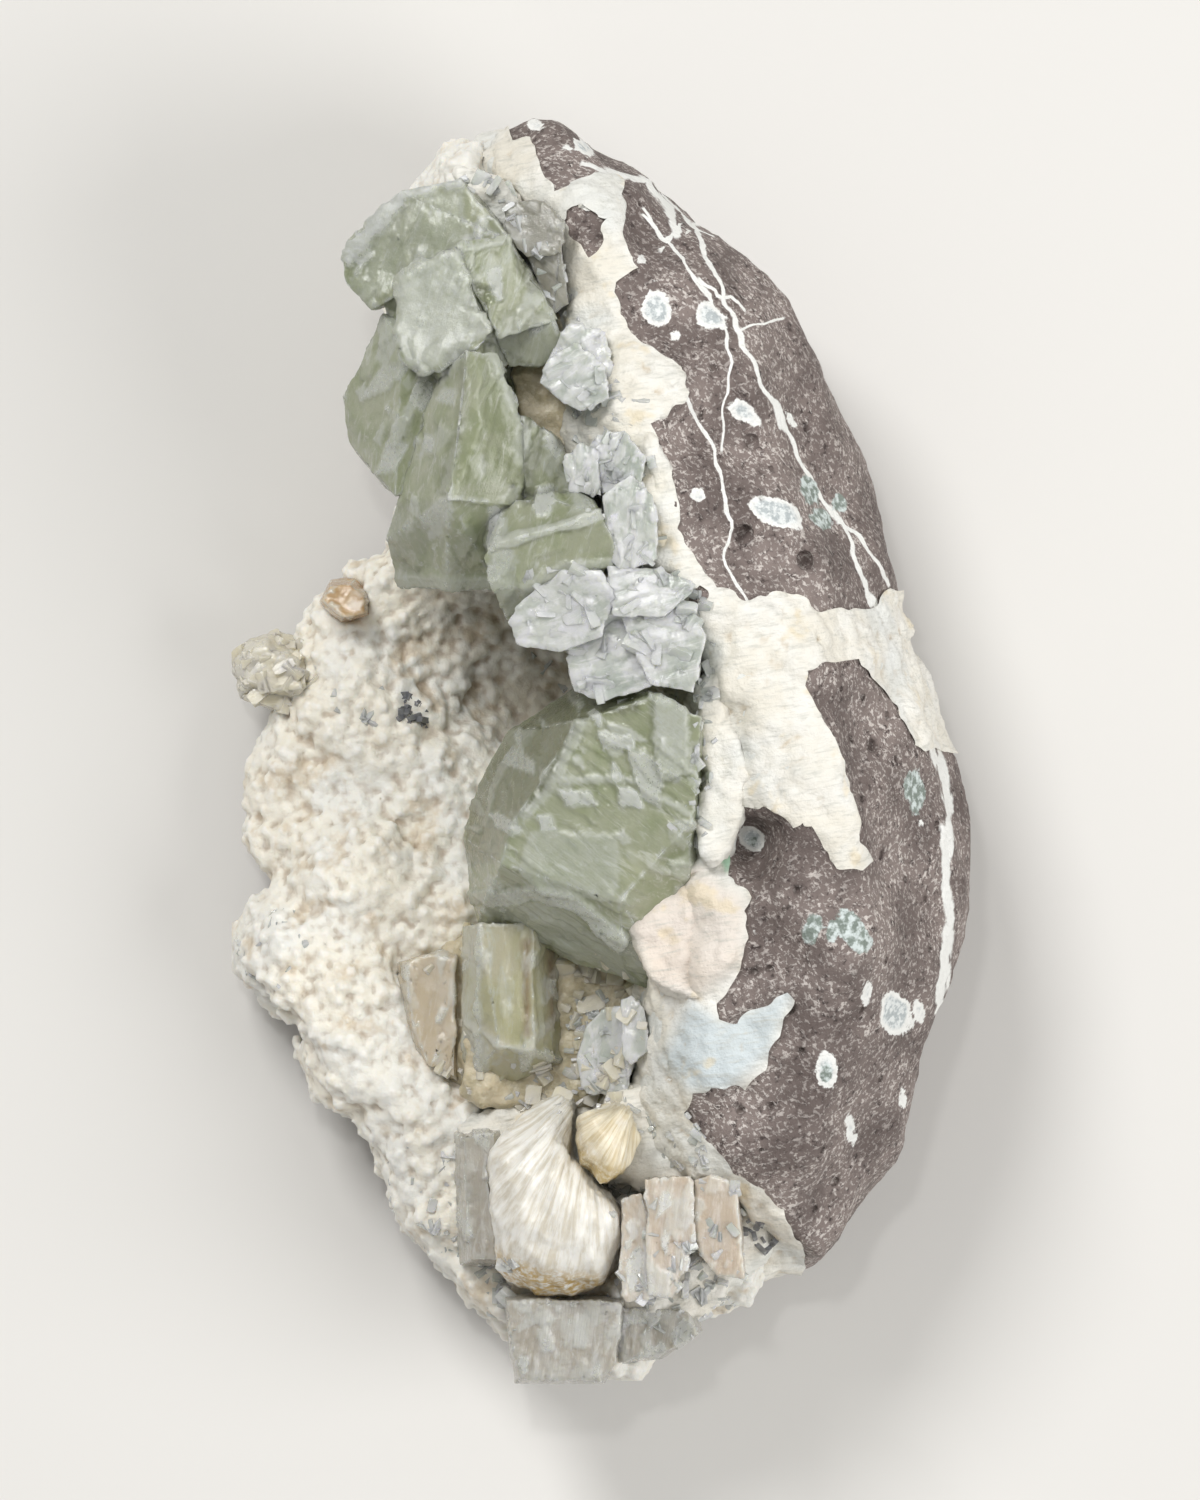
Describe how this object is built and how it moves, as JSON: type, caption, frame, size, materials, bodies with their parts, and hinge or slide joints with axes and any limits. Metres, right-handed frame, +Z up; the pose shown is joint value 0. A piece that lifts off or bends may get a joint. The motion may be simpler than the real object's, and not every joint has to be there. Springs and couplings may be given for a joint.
{
  "type": "apophyllite cluster",
  "caption": "Green apophyllite crystals with pearly stilbite and white druse in a broken cavity of grey basalt, lying on its back.",
  "frame": {"origin": "on the table, under the middle of the specimen's bounding box", "axes": "+X across, towards the basalt wall; +Y along the specimen's length, towards its green upper end; +Z up, out of the open cavity"},
  "size_m": [0.0938, 0.1602, 0.062],
  "materials": {
    "basalt_matrix": "rough",
    "zeolite_rind": "rough",
    "drusy_crust": "rough",
    "apophyllite": "clear to cloudy, glassy",
    "clear_apophyllite": "clear, glassy",
    "olive_apophyllite": "clear to cloudy, glassy",
    "stilbite": "pearly",
    "cream_stilbite": "pearly",
    "peach_stilbite": "pearly",
    "smoky_stilbite": "cloudy, pearly",
    "beige_calcite": "cloudy, smooth",
    "tan_druse": "rough"
  },
  "bodies": {
    "root": {"basalt_matrix": "basalt_matrix", "zeolite_rind": "zeolite_rind", "drusy_crust": "drusy_crust", "apophyllite_upper": "apophyllite", "apophyllite_middle": "apophyllite", "apophyllite_lower": "olive_apophyllite", "clear_crystals_bridge": "clear_apophyllite", "clear_crystals_rim": "clear_apophyllite", "clear_crystals_top": "clear_apophyllite", "clear_crystals_lower": "clear_apophyllite", "cloudy_lobe": "clear_apophyllite", "stilbite_sheaf": "stilbite", "stilbite_disc": "cream_stilbite", "stilbite_fibres": "stilbite", "stilbite_blade": "peach_stilbite", "stilbite_blocks": "smoky_stilbite", "smoky_crystal": "smoky_stilbite", "beige_crystal": "beige_calcite", "peach_crystal": "beige_calcite", "tan_spur": "tan_druse"}
  },
  "joints": []
}
